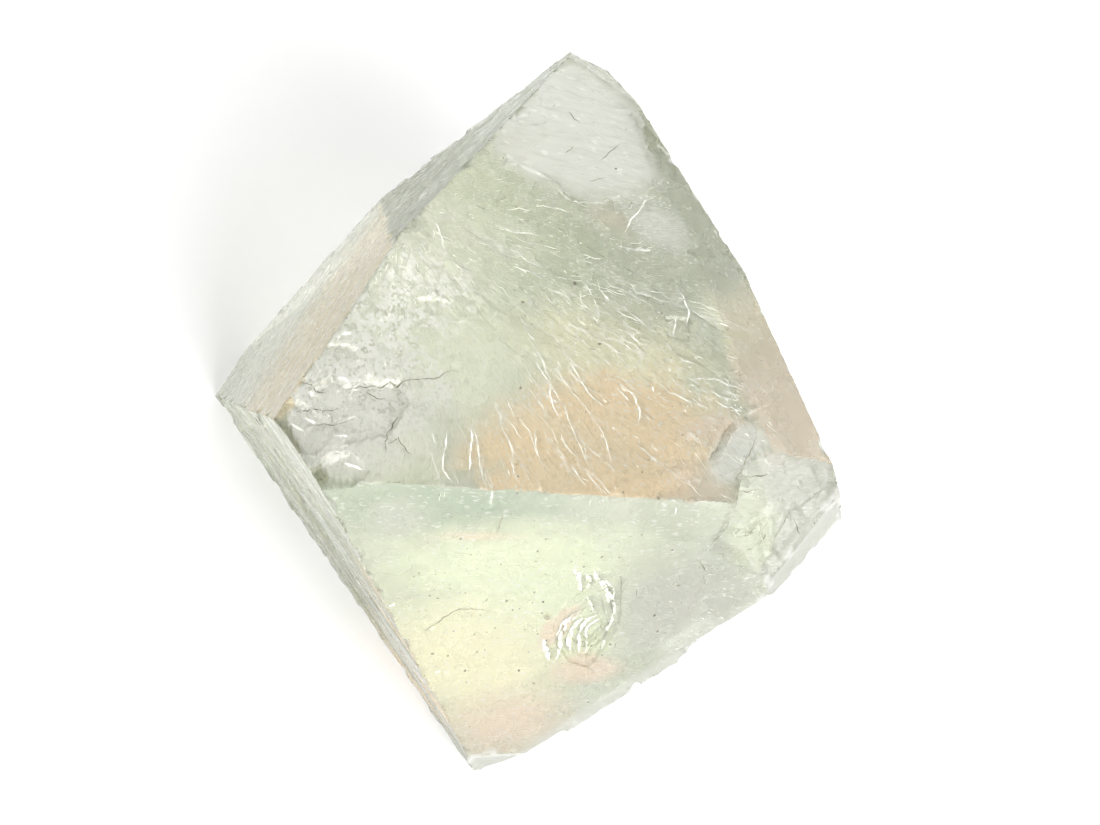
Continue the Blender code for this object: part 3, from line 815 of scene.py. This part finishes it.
# Wide painted glints on the bruise's flakes: both ends on the face, and half the width (mm).
flakes = (((-4.6, -14.9), (-3.8, -14.4), 0.08), ((-3.5, -14.5), (-3.2, -13.9), 0.07),
          ((-3.3, -17.5), (-2.4, -16.9), 0.09), ((-3.4, -18.2), (-2.7, -18.0), 0.07),
          ((-0.2, -17.2), (0.6, -16.5), 0.11), ((-0.9, -17.4), (-0.6, -16.7), 0.06),
          ((-5.3, -13.3), (-5.1, -12.9), 0.08), ((-6.3, -13.2), (-6.0, -12.8), 0.08),
          ((-2.2, -15.6), (-1.9, -15.1), 0.1), ((-1.6, -16.9), (-1.3, -16.2), 0.08),
          ((-4.4, -16.5), (-3.9, -16.1), 0.1), ((-2.6, 3.9), (-2.1, 4.8), 0.1))
for first, last, breadth in flakes:
    lay_sliver(glint_mesh, planes["top"], wandering([first, last], 500, 0.12, 0.12), breadth)

# The strewn slivers, short painted glints: the face, how many, the middle and the spread of
# their ground (mm), and the least and the greatest half width.
fine, broad = (0.012, 0.034), (0.04, 0.14)
short_glints = (("top", 240, (-7.2, -8.4), 4.2, 3.4, fine), ("top", 180, (-4.4, -14.8), 3.6, 3.4, fine),
              ("top", 260, (-2.0, 0.0), 8.0, 4.6, fine), ("top", 200, (4.0, -3.0), 6.0, 6.5, fine),
              ("top", 90, (-10.6, 5.6), 4.2, 3.0, fine), ("top", 110, (7.0, 2.4), 3.0, 1.8, fine),
              ("front_right", 60, (-4.0, 0.0), 6.0, 4.0, fine),
              ("front_left", 150, (4.0, 1.0), 10.0, 9.0, broad),
              ("front_right", 60, (8.0, 0.0), 3.5, 4.0, fine),
              ("front", 70, (-2.0, 6.0), 8.0, 8.0, broad))
for name, count, centre, reach_u, reach_v, breadths in short_glints:
    for number in range(count):
        start = Vector((draw.gauss(centre[0], reach_u / 2), draw.gauss(centre[1], reach_v / 2)))
        out = start - split_start if name == "top" else Vector((1, 0))
        heading = math.atan2(out.y, out.x) + draw.gauss(0, 0.35)
        step = Vector((math.cos(heading), math.sin(heading))) * draw.uniform(0.06, 0.2)
        lay_sliver(glint_mesh, planes[name], [start, start + step, start + step * 2.1],
                   draw.uniform(*breadths))

glint_white = bpy.data.materials.new("glint_white_fluorite")
glint_white.use_nodes = True
nodes, links = glint_white.node_tree.nodes, glint_white.node_tree.links
shader = nodes["Principled BSDF"]
place = add("ShaderNodeTexCoord").outputs["Object"]
# Painted glints: opaque and whitish grey.
shine = tinted((0.58, 0.59, 0.52, 1), ramp(cloud(1500, 2), 0.35, 0.6), (0.86, 0.86, 0.80, 1))
links.new(shine, shader.inputs["Base Color"])
links.new(ramp(cloud(3000, 2), 0.3, 0.7, 0.35, 0.6), shader.inputs["Roughness"])
flaky = fed(add("ShaderNodeBump"), Strength=0.4, Distance=0.00002, Height=cloud(6000, 2))
links.new(flaky.outputs[0], shader.inputs["Normal"])
sliver_object("hackle_glints", glint_mesh, glint_white)

# ---------------------------------------------------------------- the hair cracks and specks
# Fine cracks drawn as dark lines, and specks of dark mineral grown into the surface.
# They are dark marks on the same crystal, so they lie flush on it.
mark_lift = 0.02
crack_seed, crack_sway, crack_spacing = 300, 0.12, 0.15
long_crack, scratch = 0.03, 0.022
dark_mark_mesh = bmesh.new()
for name, lines in cracks.items():
    for number, line in enumerate(lines):
        bent = wandering(line, crack_seed + number, crack_sway, crack_spacing)
        half_width = long_crack if len(line) > 2 else scratch
        lay_sliver(dark_mark_mesh, planes[name], bent, half_width, mark_lift)

# The face, how many specks, and the middle and the spread of their ground (mm).
speck_fields = (("front_right", 150, (-3.0, -2.0), 9.0, 12.0), ("top", 50, (1.0, -2.0), 14.0, 14.0),
                ("front", 24, (-4.0, 4.0), 8.0, 10.0), ("front_left", 16, (5.0, 0.0), 10.0, 8.0))
for name, count, centre, reach_u, reach_v in speck_fields:
    plane = planes[name]
    for number in range(count):
        spot = on_surface(plane, draw.gauss(centre[0], reach_u / 2),
                          draw.gauss(centre[1], reach_v / 2), mark_lift)
        if spot is None:
            continue
        turn = plane.normal.to_track_quat("Z", "Y").to_matrix().to_4x4()
        turn = Matrix.Translation(spot) @ turn @ Matrix.Rotation(draw.uniform(0, 6), 4, "Z")
        turn = turn @ Matrix.Diagonal((1.0, draw.uniform(0.4, 1.0), 1.0, 1.0))
        bmesh.ops.create_circle(dark_mark_mesh, cap_ends=True, segments=6, matrix=turn,
                                radius=0.04 + 0.08 * draw.random() ** 4)

# The two largest specks: the face, the place on it, the corners and the radius (mm).
large_specks = (("front_right", (-1.4, -2.0), 4, 0.19), ("front", (-7.1, 7.7), 7, 0.36))
proud_of_the_face = 0.12
for name, spot, corners, radius in large_specks:
    turn = planes[name].normal.to_track_quat("Z", "Y").to_matrix().to_4x4()
    turn = Matrix.Translation(on_surface(planes[name], *spot, proud_of_the_face)) @ turn
    bmesh.ops.create_circle(dark_mark_mesh, cap_ends=True, segments=corners, matrix=turn,
                            radius=radius)
dark_marked = bpy.data.materials.new("dark_marks_fluorite")
dark_marked.use_nodes = True
nodes, links = dark_marked.node_tree.nodes, dark_marked.node_tree.links
shader = nodes["Principled BSDF"]
place = add("ShaderNodeTexCoord").outputs["Object"]
dark_mark_colour = tinted((0.10, 0.09, 0.06, 1), ramp(cloud(800, 2), 0.3, 0.7), (0.30, 0.28, 0.20, 1))
links.new(dark_mark_colour, shader.inputs["Base Color"])
links.new(ramp(cloud(2000, 2), 0.3, 0.7, 0.5, 0.8), shader.inputs["Roughness"])
grit = fed(add("ShaderNodeBump"), Strength=0.3, Distance=0.00001, Height=cloud(6000, 2))
links.new(grit.outputs[0], shader.inputs["Normal"])
sliver_object("cracks_and_specks", dark_mark_mesh, dark_marked)

# ---------------------------------------------------------------- the floor
# A plain white sheet, a hair below the resting face so that no surfaces coincide.
floor_mesh = bmesh.new()
bmesh.ops.create_grid(floor_mesh, x_segments=1, y_segments=1, size=1.0,
                      matrix=Matrix.Translation((0, 0, -0.00015)))
floor_data = bpy.data.meshes.new("floor")
floor_mesh.to_mesh(floor_data)
floor_mesh.free()
floor = bpy.data.objects.new("floor", floor_data)
scene.collection.objects.link(floor)
paper = bpy.data.materials.new("paper")
paper.use_nodes = True
paper.node_tree.nodes["Principled BSDF"].inputs["Base Color"].default_value = (0.92, 0.92, 0.92, 1)
paper.node_tree.nodes["Principled BSDF"].inputs["Roughness"].default_value = 0.8
floor_data.materials.append(paper)

# ---------------------------------------------------------------- the light
# An even white surround, with one large soft lamp on the right.
world = bpy.data.worlds.new("studio")
scene.world = world
world.use_nodes = True
world.node_tree.nodes["Background"].inputs["Color"].default_value = (1, 1, 1, 1)
world.node_tree.nodes["Background"].inputs["Strength"].default_value = 0.9
key = bpy.data.lights.new("key", "AREA")
key.size = 0.45
key.energy = 4.8
key_lamp = bpy.data.objects.new("key", key)
scene.collection.objects.link(key_lamp)
key_lamp.location = (0.46, -0.12, 0.36)
key_lamp.rotation_euler = (-key_lamp.location).to_track_quat("-Z", "Y").to_euler()
scene.view_settings.view_transform = "Standard"

# ---------------------------------------------------------------- the camera
# It looks down on the stone from 60 degrees above the floor, turned about its own axis.
camera_data = bpy.data.cameras.new("camera")
camera = bpy.data.objects.new("camera", camera_data)
scene.collection.objects.link(camera)
scene.camera = camera
camera_data.lens = 72
camera_data.sensor_width = 36
camera_data.clip_start = 0.005
right, up = Vector((0.5739, 0.7703, 0.2781)), Vector((-0.7956, 0.4441, 0.4119))
back = right.cross(up)
pose = Matrix((right, up, back)).transposed().to_4x4()
pose.translation = middle * 0.001 + back * 0.1294
camera.matrix_world = pose
